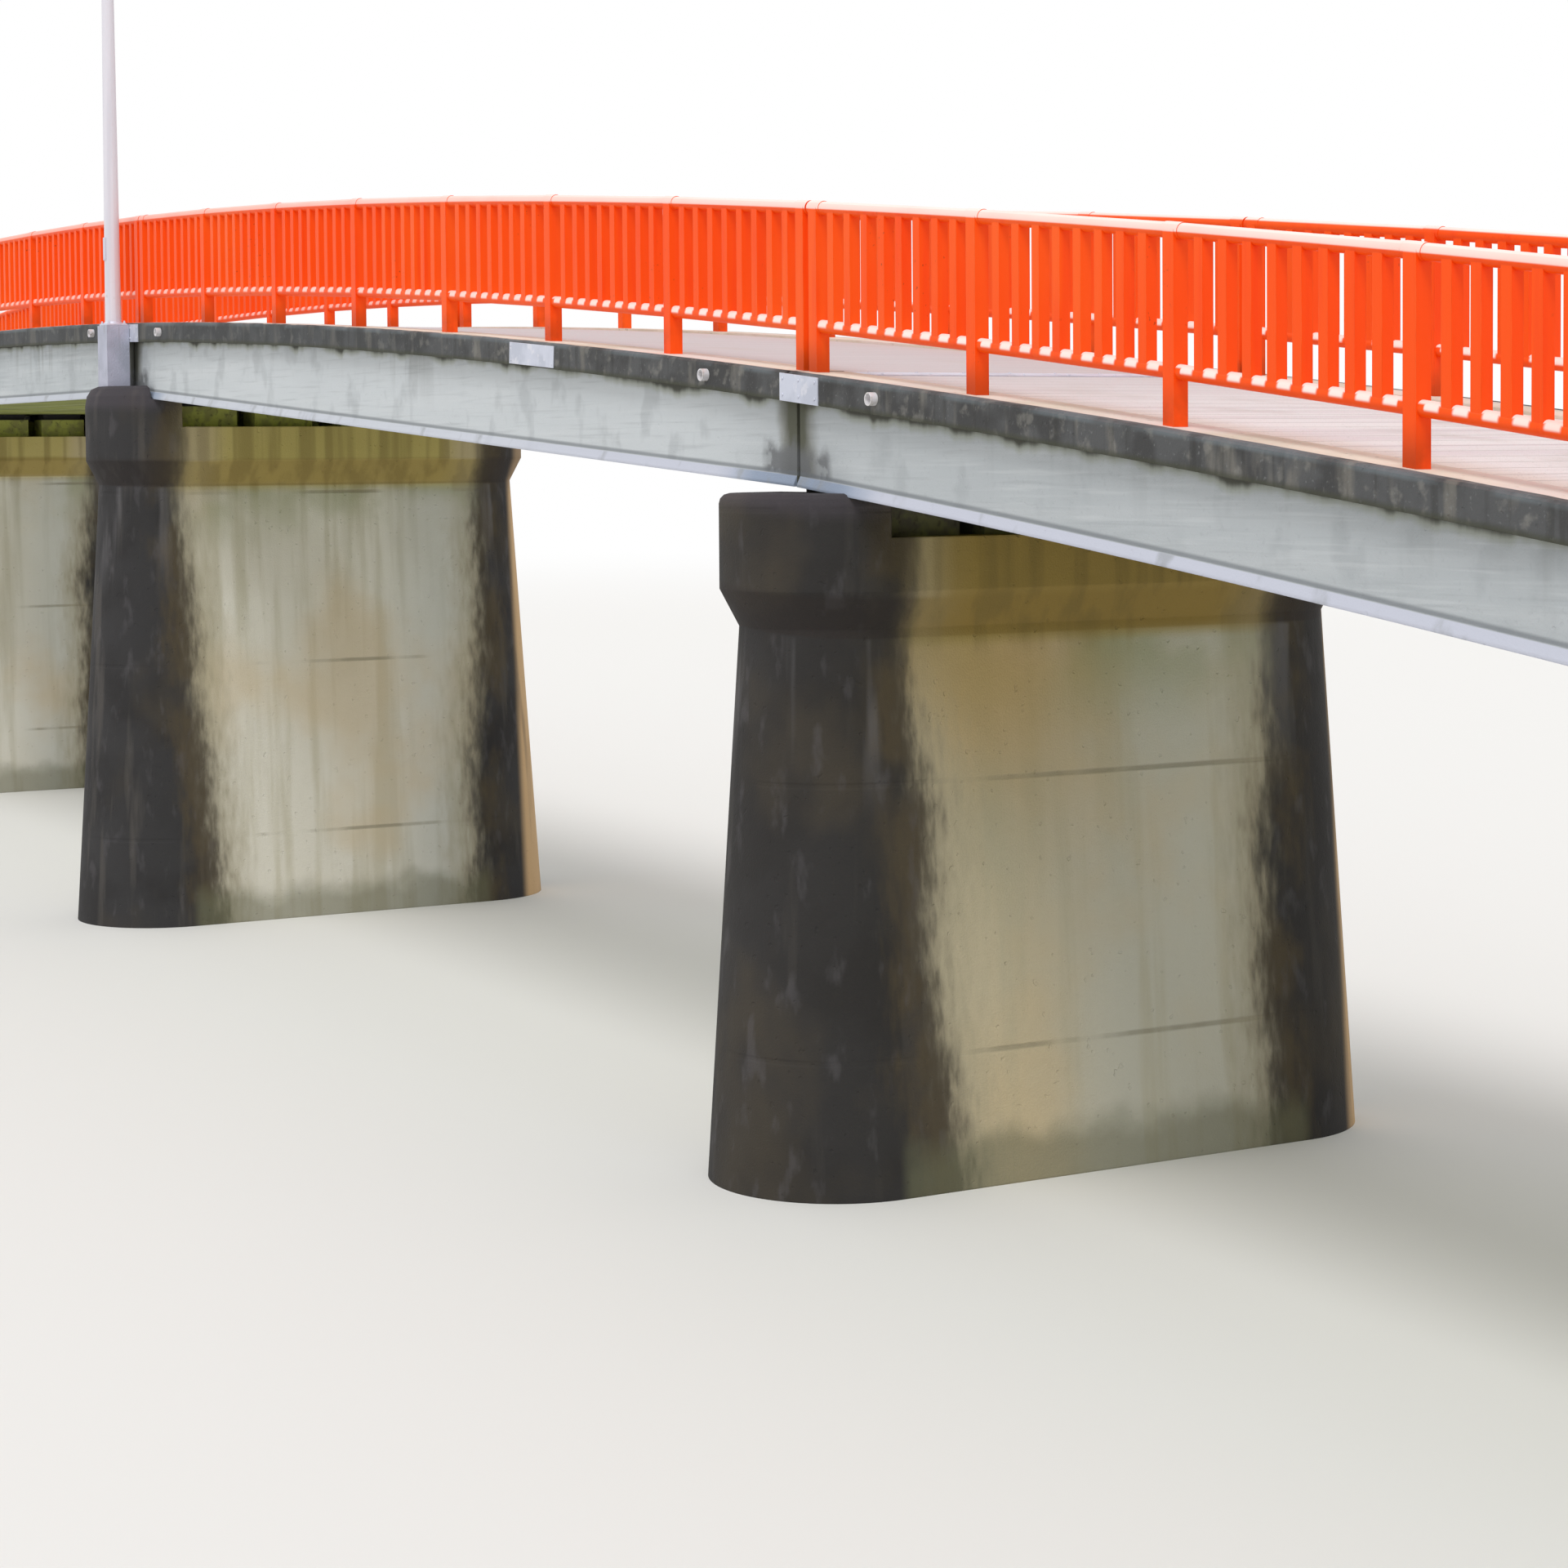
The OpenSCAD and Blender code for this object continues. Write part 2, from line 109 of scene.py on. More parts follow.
class Finish:
    """A finish in layers of colour, each laid where its amount is above zero, called f below."""

    def __init__(self, name, base, roughness, metallic=0.0):
        self.material = bpy.data.materials.new(name)
        self.material.use_nodes = True
        self.tree = self.material.node_tree
        self.shader = self.tree.nodes["Principled BSDF"]
        self.shader.inputs["Roughness"].default_value = roughness
        self.shader.inputs["Metallic"].default_value = metallic
        place = self.add("ShaderNodeTexCoord")
        self.place = place.outputs["Object"]
        self.x, self.y, self.z = self.axes(self.place)
        self.facing_y, self.facing_z = self.axes(place.outputs["Normal"])[1:]
        self.colour = paint(*base)

    def add(self, kind, **settings):
        """Makes a node."""
        node = self.tree.nodes.new(kind)
        for name, value in settings.items():
            setattr(node, name, value)
        return node

    def feed(self, socket, value):
        """Links a socket to another one, or sets its value."""
        if isinstance(value, bpy.types.NodeSocket):
            self.tree.links.new(value, socket)
        else:
            socket.default_value = value

    def axes(self, vector):
        """Splits a vector into x, y and z."""
        node = self.add("ShaderNodeSeparateXYZ")
        self.feed(node.inputs[0], vector)
        return node.outputs[0], node.outputs[1], node.outputs[2]

    def calc(self, operation, *values):
        """One step of arithmetic."""
        node = self.add("ShaderNodeMath", operation=operation)
        for socket, value in zip(node.inputs, values):
            self.feed(socket, value)
        return node.outputs[0]

    def both(self, first, *others):
        """Where all the amounts are high."""
        for other in others:
            first = self.calc("MULTIPLY", first, other)
        return first

    def rise(self, value, low, high, start=0.0, end=1.0):
        """Goes smoothly from start to end while value goes from low to high."""
        node = self.add("ShaderNodeMapRange", interpolation_type="SMOOTHSTEP")
        sockets = ("Value", "From Min", "From Max", "To Min", "To Max")
        for name, number in zip(sockets, (value, low, high, start, end)):
            self.feed(node.inputs[name], number)
        return node.outputs[0]

    def noise(self, scale, stretch=(1, 1, 1), detail=4.0, shift=0.0):
        """Grain: a higher stretch along an axis makes it finer that way."""
        mapping = self.add("ShaderNodeMapping")
        self.feed(mapping.inputs["Vector"], self.place)
        mapping.inputs["Location"].default_value = (shift, shift, shift)
        mapping.inputs["Scale"].default_value = stretch
        node = self.add("ShaderNodeTexNoise")
        self.feed(node.inputs["Vector"], mapping.outputs[0])
        node.inputs["Scale"].default_value = scale
        node.inputs["Detail"].default_value = detail
        return node.outputs[0]

    def streaks(self, across, down, detail=4.0, shift=0.0):
        """Upright runs: across and down say how fine the grain is each way."""
        return self.noise(1.0, stretch=(across, across, down), detail=detail, shift=shift)

    def layer(self, colour, amount):
        """Lays a colour over what is there."""
        node = self.add("ShaderNodeMix", data_type="RGBA")
        self.feed(node.inputs[0], amount)
        self.feed(node.inputs[6], self.colour)
        self.feed(node.inputs[7], paint(*colour))
        self.colour = node.outputs[2]

    def deck(self, x):
        """Top of the copings over a place."""
        inside = self.calc("SUBTRACT", ARCH_RADIUS ** 2, self.calc("MULTIPLY", x, x))
        return self.calc("ADD", self.calc("SQRT", inside), CROWN - ARCH_RADIUS)

    def below_deck(self):
        """Depth below the top of the copings."""
        return self.calc("SUBTRACT", self.deck(self.x), self.z)

    def span_share(self):
        """Place along the bridge, counted in spans from the left end."""
        return self.calc("DIVIDE", self.calc("ADD", self.x, HALF_LENGTH), SPAN)

    def from_middle(self, value, pitch):
        """How far a value lies from the middle of its repeat, as a share of the pitch."""
        beat = self.calc("FRACT", self.calc("DIVIDE", value, pitch))
        return self.calc("ABSOLUTE", self.calc("SUBTRACT", beat, 0.5))

    def panel_seams(self):
        """Level joints between the panels that the concrete was cast against."""
        return self.rise(self.from_middle(self.z, PANEL_HEIGHT), 0.014, 0.004)

    def by_nearest_pier(self):
        """Rises to 1 at the pier nearest to the photograph's place."""
        return self.rise(self.x, INNER_JOINTS[-1] - 3.0, INNER_JOINTS[-1] - 1.0)

    def past_joint(self):
        """Distance along the bridge past the nearest joint, negative before it."""
        share = self.span_share()
        return self.calc("MULTIPLY", self.calc("SUBTRACT", share, self.calc("ROUND", share)), SPAN)

    def between_balusters(self):
        """High on a rail between two balusters, low at a baluster or a post."""
        along = self.calc("MULTIPLY", self.calc("FRACT", self.span_share()), SPAN)
        first_bay = self.calc("LESS_THAN", along, POST_PITCH)
        last_bay = self.calc("GREATER_THAN", along, SPAN - POST_PITCH)
        shift = self.calc("MULTIPLY", self.calc("SUBTRACT", last_bay, first_bay), TWIN_POST / 2)
        bays = self.calc("FRACT", self.calc("DIVIDE", along, POST_PITCH))
        off = self.calc("MULTIPLY", self.calc("SUBTRACT", bays, 0.5), POST_PITCH)
        off = self.calc("ADD", off, shift)
        clear = self.calc("MULTIPLY", self.from_middle(off, BALUSTER_PITCH), BALUSTER_PITCH)
        between = self.rise(clear, BALUSTER_HALF + 0.001, BALUSTER_HALF + 0.013)
        reach = self.calc("ABSOLUTE", off)
        return self.both(between, self.rise(reach, HIGHLIGHT_HALF_BAY + 0.002, HIGHLIGHT_HALF_BAY - 0.002))

    def over_soffit(self):
        """Height over the straight underside of an inner span, or the curved one of an end span."""
        share = self.span_share()
        whole = self.calc("FLOOR", share)
        left = self.calc("SUBTRACT", self.calc("MULTIPLY", whole, SPAN), HALF_LENGTH)
        left_deck = self.deck(left)
        right_deck = self.deck(self.calc("ADD", left, SPAN))
        rest = self.calc("SUBTRACT", share, whole)
        fall = self.calc("MULTIPLY", self.calc("SUBTRACT", right_deck, left_deck), rest)
        straight = self.calc("ADD", left_deck, fall)
        end_span = self.calc("GREATER_THAN", self.calc("ABSOLUTE", self.x), INNER_JOINTS[-1])
        curve = self.calc("MULTIPLY", self.calc("SUBTRACT", self.deck(self.x), straight), end_span)
        line = self.calc("ADD", straight, curve)
        return self.calc("ADD", self.calc("SUBTRACT", self.z, line), GIRDER_DROP)

    def soft_edges(self, radius):
        """Normals that turn round an edge instead of breaking at it."""
        node = self.add("ShaderNodeBevel", samples=2)
        node.inputs["Radius"].default_value = radius
        return node.outputs[0]

    def worn_edges(self, radius):
        """High along the arrises, where paint and cement skin wear first."""
        dot = self.add("ShaderNodeVectorMath", operation="DOT_PRODUCT")
        self.feed(dot.inputs[0], self.soft_edges(radius))
        self.feed(dot.inputs[1], self.add("ShaderNodeNewGeometry").outputs["Normal"])
        return self.rise(dot.outputs["Value"], 0.985, 0.86)

    def done(self, height, depth, edge_radius):
        """Ends the finish with its relief, and returns the material."""
        bump = self.add("ShaderNodeBump")
        bump.inputs["Strength"].default_value = 1.0
        bump.inputs["Distance"].default_value = depth
        self.feed(bump.inputs["Height"], height)
        self.feed(bump.inputs["Normal"], self.soft_edges(edge_radius))
        self.feed(self.shader.inputs["Normal"], bump.outputs[0])
        self.feed(self.shader.inputs["Base Color"], self.colour)
        return self.material


def concrete_relief(f, pits=0.35):
    """Fine sand and a few blow holes, as in concrete cast against panels."""
    sand = f.noise(160, detail=2)
    swell = f.noise(9, detail=3)
    holes = f.rise(f.noise(38, detail=1, shift=3.1), 0.70, 0.78, end=pits)
    return f.calc("SUBTRACT", f.calc("ADD", f.calc("MULTIPLY", sand, 0.35), swell), holes)


def wall_relief(f, seams):
    """Cast relief with the panel joints sunk into it."""
    return f.calc("SUBTRACT", concrete_relief(f, pits=0.5), f.calc("MULTIPLY", seams, 0.5))


def girder_concrete():
    """Smooth pale concrete with a ragged dark drip line under the coping, and an underside painted olive
    for green light bounced up from the grass.
    """
    f = Finish("girder_concrete", (189, 195, 198), roughness=0.86)
    below = f.calc("SUBTRACT", f.below_deck(), COPING_DEPTH)
    lift = f.over_soffit()
    reach = f.calc("ABSOLUTE", f.y)
    joint = f.calc("ABSOLUTE", f.past_joint())
    streaks = f.streaks(13, 0.8, detail=3)
    f.layer((178, 184, 187), f.rise(f.noise(1.1, detail=3), 0.40, 0.62, end=0.75))
    f.layer((204, 208, 210), f.rise(f.noise(2.2, stretch=(0.25, 1, 5)), 0.50, 0.68, end=0.6))
    f.layer((162, 167, 168), f.both(f.rise(streaks, 0.50, 0.72), f.rise(below, 0.30, 0.02), 0.4))
    f.layer((150, 155, 158), f.rise(f.noise(55, detail=2), 0.60, 0.74, end=0.35))
    # Tone along the bridge, and the marks of brush and trowel
    f.layer((174, 179, 182), f.rise(f.x, 6.0, 12.0, end=0.6))
    f.layer((206, 211, 214), f.both(f.rise(f.x, 3.0, 5.0), f.rise(f.x, 11.5, 9.5), 0.65))
    smudges = f.noise(4.5, stretch=(1.3, 1, 1), detail=3, shift=11.0)
    f.layer((158, 163, 166), f.rise(smudges, 0.54, 0.68, end=0.4))
    pale_strokes = f.noise(3.0, stretch=(0.8, 1, 20), detail=2)
    f.layer((206, 210, 212), f.rise(pale_strokes, 0.52, 0.72, end=0.3))
    dark_strokes = f.noise(3.0, stretch=(0.8, 1, 24), detail=2, shift=5.0)
    f.layer((156, 161, 164), f.rise(dark_strokes, 0.52, 0.74, end=0.3))
    # Drips from the coping: a ragged line, and longer runs in places
    broad = f.calc("MULTIPLY", f.noise(3.2, stretch=(1, 1, 0.1), detail=3), 0.13)
    fine = f.calc("MULTIPLY", f.streaks(12, 0.8, detail=4), 0.05)
    ragged = f.calc("SUBTRACT", f.calc("ADD", broad, fine), 0.080)
    middle = f.rise(f.calc("ABSOLUTE", f.x), 10.5, 6.5)
    ragged = f.calc("SUBTRACT", ragged, f.both(middle, 0.012))
    wet = f.calc("SUBTRACT", ragged, below)
    f.layer((148, 152, 132), f.rise(wet, -0.034, -0.004, end=0.6))
    f.layer((66, 66, 56), f.rise(wet, -0.012, 0.010, end=0.92))
    places = f.rise(f.noise(0.6, stretch=(1, 1, 0.05), detail=2, shift=4.0), 0.56, 0.67)
    f.layer((98, 97, 88), f.both(places, f.rise(streaks, 0.44, 0.60), f.rise(below, 0.25, 0.0), 0.35))
    # Wet streak below each joint, with two dark patches over the pier
    wobble = f.calc("MULTIPLY", f.noise(5, stretch=(1, 1, 0.6), detail=4), 0.16)
    near = f.calc("ADD", joint, wobble)
    f.layer((118, 118, 108), f.rise(near, 0.240, 0.160, end=0.7))
    f.layer((82, 83, 66), f.rise(near, 0.180, 0.120, end=0.9))
    top = f.calc("ADD", lift, f.calc("MULTIPLY", f.noise(9, detail=4, shift=2.0), 0.12))
    patch = f.both(f.rise(near, 0.330, 0.270), f.rise(top, 0.215, 0.165), f.rise(lift, 0.030, 0.045))
    blotted = f.rise(f.noise(14, detail=3), 0.36, 0.50, start=0.45, end=0.9)
    f.layer((112, 114, 116), f.both(patch, blotted))
    # Lip: bluish white, a painted highlight of sky light on its upward face, with a dark line where it
    # meets the face
    lip_line = f.both(f.rise(lift, LIP_HEIGHT - 0.004, LIP_HEIGHT + 0.002),
                    f.rise(lift, LIP_HEIGHT + 0.018, LIP_HEIGHT + 0.007))
    f.layer((112, 117, 122), f.both(lip_line, 0.7))
    lip = f.rise(reach, GIRDER_FACE + 0.0004, GIRDER_FACE + 0.002)
    f.layer((194, 197, 210), f.both(lip, f.rise(middle, 0.0, 1.0, start=1.0, end=0.55)))
    f.layer((136, 151, 173), f.both(lip, f.rise(near, 0.66, 0.34), 0.85))
    f.layer((150, 153, 155), f.both(lip, f.rise(f.noise(7, stretch=(1, 1, 0.4)), 0.56, 0.70), 0.6))
    # Underside: olive, painted green light bounced up from the grass onto a shaded face, darker in patches
    under = f.rise(f.facing_z, -0.45, -0.85)
    f.layer((130, 137, 58), under)
    mottled = f.rise(f.noise(3.2, stretch=(0.5, 1, 1), detail=4), 0.42, 0.66)
    f.layer((98, 104, 44), f.both(under, mottled, 0.75))
    f.layer((152, 150, 104), f.both(under, f.rise(f.noise(4.0, detail=5, shift=7.0), 0.56, 0.74), 0.6))
    f.layer((78, 82, 50), f.both(under, f.rise(near, 0.60, 0.15), 0.6))
    return f.done(concrete_relief(f), depth=0.0025, edge_radius=0.006)


def coping_concrete():
    """Black weathered face under a pale walked top."""
    f = Finish("coping_concrete", (82, 83, 84), roughness=0.9)
    below = f.below_deck()
    reach = f.calc("ABSOLUTE", f.y)
    f.layer((58, 58, 58), f.rise(f.noise(5), 0.42, 0.60, end=0.85))
    f.layer((120, 117, 110), f.rise(f.noise(5, stretch=(2, 2, 0.6), shift=2.0), 0.52, 0.68, end=0.7))
    f.layer((138, 136, 130), f.rise(f.noise(16, detail=4, shift=6.0), 0.56, 0.70, end=0.45))
    f.layer((52, 52, 50), f.rise(f.streaks(22, 1.5, detail=3), 0.54, 0.70, end=0.55))
    f.layer((132, 134, 134), f.rise(f.noise(60, detail=2), 0.62, 0.76, end=0.4))
    f.layer((64, 67, 69), f.rise(f.x, 9.0, 6.0, end=0.45))
    f.layer((60, 62, 44), f.rise(below, COPING_DEPTH - 0.022, COPING_DEPTH - 0.002, end=0.7))
    f.layer((112, 121, 126), f.both(f.rise(below, 0.024, 0.010), f.rise(f.noise(3), 0.40, 0.60), 0.6))
    # Walked top, with the dark of the face creeping over its outer edge toward the right
    inside = f.rise(reach, PAVING_HALF + 0.002, PAVING_HALF)
    crust = f.rise(f.x, 8.5, 12.5, start=0.010, end=0.050)
    crust = f.calc("ADD", crust, f.calc("MULTIPLY", f.noise(8, detail=2), 0.016))
    walked = f.rise(f.calc("ADD", reach, crust), HALF_DECK + 0.012, HALF_DECK + 0.002)
    top = f.calc("MAXIMUM", f.both(f.rise(f.facing_z, 0.55, 0.85), walked), inside)
    f.layer((228, 214, 198), top)
    f.layer((202, 190, 172), f.both(top, f.rise(f.noise(2.6), 0.42, 0.66), 0.75))
    f.layer((226, 210, 206), f.both(top, f.rise(f.noise(1.4, shift=5.0), 0.48, 0.66), 0.7))
    f.layer((150, 140, 118), f.both(top, f.rise(reach, HALF_DECK - 0.028, HALF_DECK - 0.006), 0.75))
    f.layer((118, 112, 100), f.both(top, f.rise(f.noise(30, detail=3), 0.62, 0.78), 0.5))
    return f.done(concrete_relief(f, pits=0.6), depth=0.004, edge_radius=0.004)


def paving():
    """Pinkish white wearing course with fine lines across the bridge."""
    f = Finish("paving", (226, 220, 220), roughness=0.88)
    reach = f.calc("ABSOLUTE", f.y)
    f.layer((214, 203, 206), f.rise(f.noise(1.0, stretch=(9, 0.4, 1), detail=3), 0.46, 0.66, end=0.8))
    f.layer((236, 226, 214), f.rise(reach, PAVING_HALF - 0.30, PAVING_HALF - 0.02, end=0.8))
    f.layer((203, 196, 196), f.rise(f.noise(1.0, stretch=(34, 1.2, 1), detail=2), 0.56, 0.72, end=0.5))
    f.layer((194, 184, 186), f.rise(f.x, 12.5, 10.0, end=0.75))
    worn = f.both(f.rise(f.noise(2.2, shift=2.0), 0.50, 0.70), f.rise(reach, 0.62, 0.25), 0.5)
    f.layer((196, 184, 180), worn)
    f.layer((176, 168, 164), f.rise(f.noise(95, detail=2), 0.60, 0.76, end=0.55))
    f.layer((168, 160, 148), f.rise(reach, PAVING_HALF - 0.020, PAVING_HALF - 0.002, end=0.6))
    # Fine lines across the bridge
    line = f.rise(f.from_middle(f.x, PAVING_LINE_PITCH), 0.035, 0.012)
    f.layer((182, 174, 172), f.both(line, 0.75))
    grit = f.calc("ADD", f.noise(190, detail=2), f.calc("MULTIPLY", f.noise(20, detail=3), 0.6))
    return f.done(f.calc("SUBTRACT", grit, f.calc("MULTIPLY", line, 1.4)), depth=0.0022, edge_radius=0.002)


def pier_concrete():
    """Pale streaked walls between round ends that are almost black, with an ochre capital that is partly
    painted shade and a painted strip of sunlight on the far ends.
    """
    f = Finish("pier_concrete", (212, 208, 195), roughness=0.9)
    below = f.below_deck()
    reach = f.calc("ABSOLUTE", f.y)
    streaks = f.streaks(9, 0.35, detail=4)
    broad_streaks = f.streaks(3.2, 0.16, detail=3, shift=3.0)
    near_pier = f.by_nearest_pier()
    f.layer((222, 219, 208), f.rise(f.noise(1.3, detail=3), 0.42, 0.64, end=0.8))
    # The nearest pier: darker, and yellower on its near side and toward the top
    f.layer((190, 188, 174), f.both(near_pier, 0.85))
    f.layer((192, 176, 140), f.both(near_pier, f.rise(f.y, 0.10, -0.45), 0.7))
    f.layer((178, 172, 148), f.rise(streaks, 0.48, 0.68, end=0.55))
    f.layer((164, 160, 134), f.both(f.rise(broad_streaks, 0.50, 0.66), f.rise(below, 2.2, 0.9), 0.55))
    # Painted shade: greyer toward the far side of the piers other than the nearest
    f.layer((184, 187, 182), f.both(f.rise(f.y, 0.15, 0.60), f.rise(near_pier, 1.0, 0.0), 0.6))
    f.layer((200, 178, 138), f.both(f.rise(f.noise(0.9, shift=9.0), 0.50, 0.66), 0.5))
    # Painted shade: olive patches toward the top of the wall, under the deck
    olive_shade = f.rise(f.noise(1.8, shift=6.0), 0.40, 0.60)
    f.layer((142, 148, 104), f.both(f.rise(below, 1.25, 0.86), olive_shade, 0.55))
    yellow_top = f.both(f.rise(below, 1.60, 0.95), f.rise(f.y, 0.15, -0.35))
    f.layer((196, 164, 106), f.both(near_pier, yellow_top, 0.7))
    # Formwork joints, broken where the skin has closed over them
    seams = f.both(f.panel_seams(), f.rise(f.noise(2.0, stretch=(1, 1, 0.1), shift=1.0), 0.40, 0.60))
    f.layer((128, 122, 102), f.both(seams, 0.6))
    # Capital: ochre face, partly stain and partly painted shade under the deck, and a darker chamfer,
    # painted shade where it faces down
    capital = f.rise(below, CHAMFER_BOTTOM + 0.05, CHAMFER_BOTTOM - 0.03)
    f.layer((186, 170, 98), f.both(capital, 0.92))
    f.layer((146, 121, 60), f.both(capital, near_pier, 0.9))
    chamfer = f.both(f.rise(below, CAP_BOTTOM - 0.03, CAP_BOTTOM),
                     f.rise(below, CHAMFER_BOTTOM + 0.006, CHAMFER_BOTTOM - 0.004))
    f.layer((140, 116, 56), f.both(chamfer, 0.6))
    cap_end = f.both(f.rise(reach, ROUND_END_Y - 0.26, ROUND_END_Y - 0.10),
                     f.rise(below, CAP_BOTTOM, CAP_BOTTOM - 0.02))
    f.layer((194, 178, 140), f.both(cap_end, f.rise(near_pier, 0.0, 1.0, start=0.85, end=0.5)))
    f.layer((112, 96, 52), f.both(f.rise(streaks, 0.46, 0.62), f.rise(below, 0.95, 0.80), 0.45))
    # Round ends: black crust that frays into speckles and runs where it meets the wall
    broad = f.calc("MULTIPLY", f.calc("SUBTRACT", f.noise(1.1, detail=3, shift=2.0), 0.5), 0.30)
    fine = f.noise(30, stretch=(1, 1, 0.28), detail=4)
    fine = f.calc("MULTIPLY", f.calc("SUBTRACT", fine, 0.5), 0.18)
    shaft = f.rise(below, CHAMFER_BOTTOM - 0.05, CHAMFER_BOTTOM + 0.40, start=0.30)
    lean = f.calc("MULTIPLY", f.rise(below, 1.0, 2.6), 0.10)
    lean = f.calc("ADD", lean, f.both(near_pier, 0.10))
    edge = f.calc("ADD", f.calc("ADD", reach, lean), f.both(f.calc("ADD", broad, fine), shaft))
    f.layer((162, 154, 130), f.both(f.rise(edge, ROUND_END_Y - 0.26, ROUND_END_Y - 0.04), shaft, 0.75))
    f.layer((112, 105, 88), f.both(f.rise(edge, ROUND_END_Y - 0.12, ROUND_END_Y + 0.03), shaft, 0.8))
    crust = f.rise(edge, ROUND_END_Y - 0.06, ROUND_END_Y + 0.10)
    f.layer((48, 47, 48), crust)
    f.layer((34, 32, 32), f.both(crust, f.rise(f.noise(2.2), 0.44, 0.64), 0.8))
    f.layer((80, 76, 72), f.both(crust, f.rise(f.streaks(11, 1.0), 0.56, 0.72), 0.6))
    f.layer((38, 35, 32), f.both(crust, near_pier, 0.55))
    corner = f.both(f.rise(edge, ROUND_END_Y + 0.22, ROUND_END_Y + 0.05),
                    f.rise(f.noise(2.8, shift=8.0), 0.36, 0.56))
    f.layer((82, 70, 47), f.both(crust, corner, 0.75))
    warm = f.rise(f.noise(2.4, stretch=(1, 1, 0.7), detail=3, shift=12.0), 0.48, 0.70)
    f.layer((72, 64, 50), f.both(crust, warm, 0.5))
    specks = f.rise(f.noise(14, stretch=(1, 1, 0.4), detail=3), 0.56, 0.72)
    f.layer((92, 89, 92), f.both(crust, specks, 0.3))
    # Painted shade: the crust darker still on the down-facing chamfer
    f.layer((40, 33, 30), f.both(crust, chamfer, 0.6))
    runs = f.rise(f.streaks(7, 0.5, detail=3, shift=9.0), 0.52, 0.64)
    below_cap = f.both(f.rise(below, CHAMFER_BOTTOM - 0.005, CHAMFER_BOTTOM + 0.015),
                       f.rise(below, 1.50, 0.95))
    f.layer((112, 110, 112), f.both(crust, runs, below_cap, 0.5))
    # Painted sky light: the tops of the round ends a paler purplish grey
    f.layer((78, 72, 80), f.both(crust, f.rise(below, 0.48, 0.41), 0.4))
    # Painted sunlight: a tan strip down one side of the far ends, weaker under the capital where the deck
    # shades it
    sunlit_strip = f.both(f.rise(f.y, ROUND_END_Y + 0.20, ROUND_END_Y + 0.27), f.rise(f.past_joint(), 0.02, 0.16))
    frayed = f.rise(f.noise(4, stretch=(1, 1, 0.12), detail=5), 0.36, 0.56)
    under_cap = f.rise(below, 0.80, 0.95, start=0.45)
    f.layer((206, 172, 128), f.both(sunlit_strip, frayed, under_cap, 0.9))
    # Splash and moss at the foot
    foot = f.calc("ADD", f.z, f.calc("MULTIPLY", f.noise(4), -0.22))
    wall = f.rise(reach, ROUND_END_Y + 0.02, ROUND_END_Y - 0.04)
    f.layer((104, 104, 80), f.both(f.rise(foot, 0.12, -0.02), wall, 0.6))
    return f.done(wall_relief(f, seams), depth=0.005, edge_radius=0.010)


def abutment_concrete():
    """Wall cast like the piers', with rain streaks and a damp foot."""
    f = Finish("abutment_concrete", (172, 167, 150), roughness=0.9)
    below = f.below_deck()
    streaks = f.streaks(10, 0.4, detail=4)
    f.layer((188, 183, 168), f.rise(f.noise(1.4, detail=3), 0.42, 0.64, end=0.8))
    f.layer((136, 133, 112), f.both(f.rise(streaks, 0.48, 0.66), f.rise(below, 1.4, 0.1), 0.75))
    runs = f.rise(f.streaks(5, 0.3, shift=4.0), 0.54, 0.68)
    f.layer((92, 88, 80), f.both(runs, f.rise(below, 0.8, 0.0), 0.75))
    seams = f.panel_seams()
    f.layer((128, 122, 104), f.both(seams, 0.6))
    foot = f.calc("ADD", f.z, f.calc("MULTIPLY", f.noise(4), -0.25))
    f.layer((104, 106, 82), f.rise(foot, 0.14, -0.02, end=0.65))
    top = f.rise(f.facing_z, 0.6, 0.9)
    f.layer((214, 204, 190), f.both(top, f.rise(below, 0.05, 0.02)))
    return f.done(wall_relief(f, seams), depth=0.005, edge_radius=0.010)


